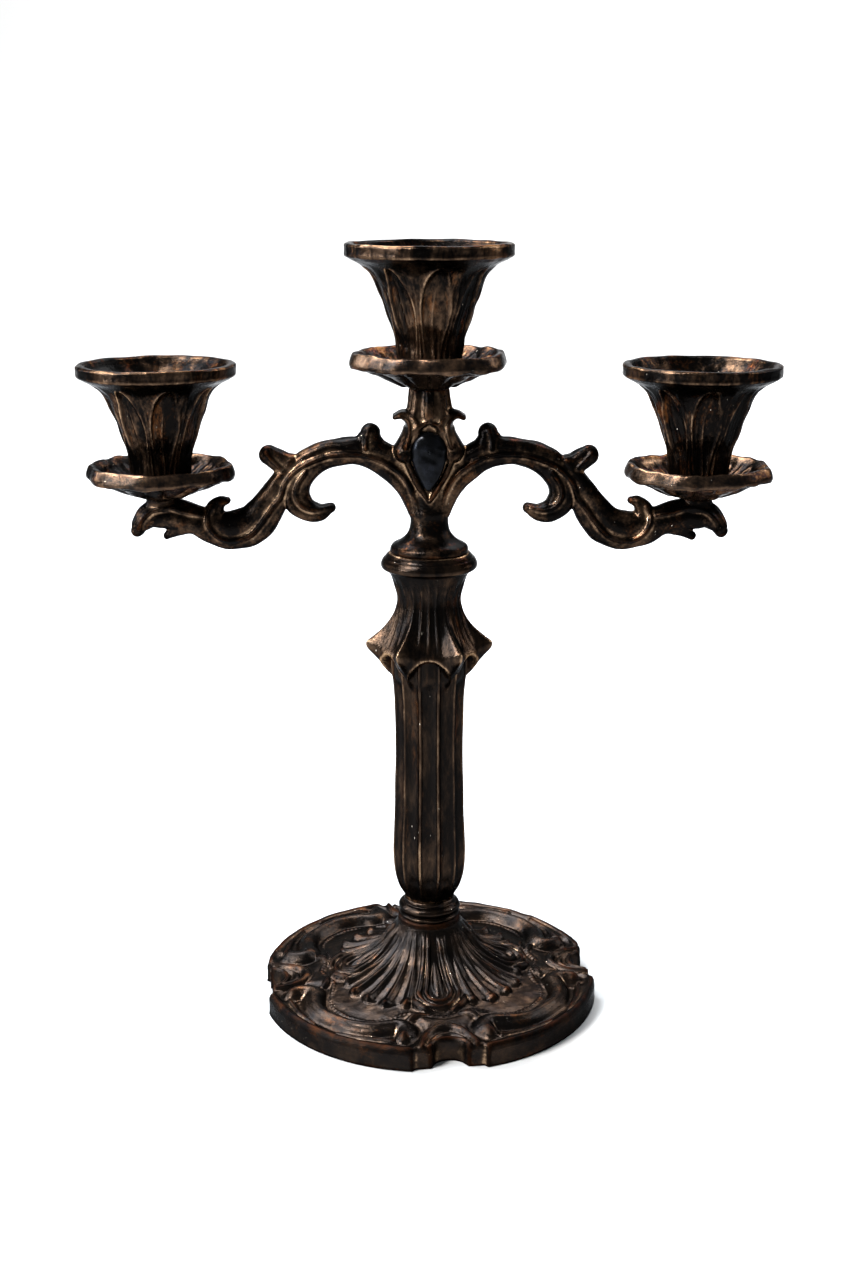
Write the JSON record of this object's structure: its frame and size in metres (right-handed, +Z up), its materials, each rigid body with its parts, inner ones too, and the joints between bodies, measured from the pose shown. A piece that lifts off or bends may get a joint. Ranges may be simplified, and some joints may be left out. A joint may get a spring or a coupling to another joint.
{
  "type": "tabletop candelabra",
  "caption": "Cast three-light candelabra: scrolled branch with drip pans and flared cups on a fluted column and a lobed, shell-ornamented foot.",
  "frame": {"origin": "centre of the foot's underside, on the surface it stands on", "axes": "+Z up the column, +X along the arms to the right light, -Y to the front"},
  "size_m": [0.2984, 0.1536, 0.3401],
  "materials": {
    "iron_foot": "dark brown-black patina, semi-gloss, with tan rubbed edges",
    "iron_column": "dark brown-black patina, semi-gloss, with tan rubbed ridges",
    "iron_branch": "dark brown-black patina, semi-gloss, with tan rubbed ridges",
    "iron_cup": "dark brown-black patina, orange-brown inside",
    "iron_pan": "dark brown-black patina, tan rubbed rim",
    "cabochon": "polished blue-black, glossy",
    "steel": "dull zinc-plated, darkened with age"
  },
  "bodies": {
    "stand": {"base": "iron_foot", "base_collar": "iron_column", "column": "iron_column", "tie_rod": "steel", "rod_washer": "steel", "rod_lock_washer": "steel", "rod_nut": "steel"},
    "branch": {"branch": "iron_branch", "front_cabochon": "cabochon", "back_cabochon": "cabochon", "left_cup_washer": "steel", "left_cup_screw": "steel", "centre_cup_washer": "steel", "centre_cup_screw": "steel", "right_cup_washer": "steel", "right_cup_screw": "steel"},
    "left_pan": {"left_drip_pan": "iron_pan"},
    "left_cup": {"left_candle_cup": "iron_cup"},
    "centre_pan": {"centre_drip_pan": "iron_pan"},
    "centre_cup": {"centre_candle_cup": "iron_cup"},
    "right_pan": {"right_drip_pan": "iron_pan"},
    "right_cup": {"right_candle_cup": "iron_cup"}
  },
  "joints": [
    {"name": "branch_turn", "type": "hinge", "parent": "stand", "child": "branch", "pos_m": [0, 0, 0.209], "axis": [0, 0, 1], "continuous": true},
    {"name": "left_pan_turn", "type": "hinge", "parent": "branch", "child": "left_pan", "pos_m": [-0.1152, 0, 0.2329], "axis": [0, 0, 1], "continuous": true},
    {"name": "left_cup_turn", "type": "hinge", "parent": "branch", "child": "left_cup", "pos_m": [-0.1152, 0, 0.2369], "axis": [0, 0, 1], "continuous": true},
    {"name": "centre_pan_turn", "type": "hinge", "parent": "branch", "child": "centre_pan", "pos_m": [0, 0, 0.2797], "axis": [0, 0, 1], "continuous": true},
    {"name": "centre_cup_turn", "type": "hinge", "parent": "branch", "child": "centre_cup", "pos_m": [0, 0, 0.2837], "axis": [0, 0, 1], "continuous": true},
    {"name": "right_pan_turn", "type": "hinge", "parent": "branch", "child": "right_pan", "pos_m": [0.1152, 0, 0.2329], "axis": [0, 0, 1], "continuous": true},
    {"name": "right_cup_turn", "type": "hinge", "parent": "branch", "child": "right_cup", "pos_m": [0.1152, 0, 0.2369], "axis": [0, 0, 1], "continuous": true}
  ]
}
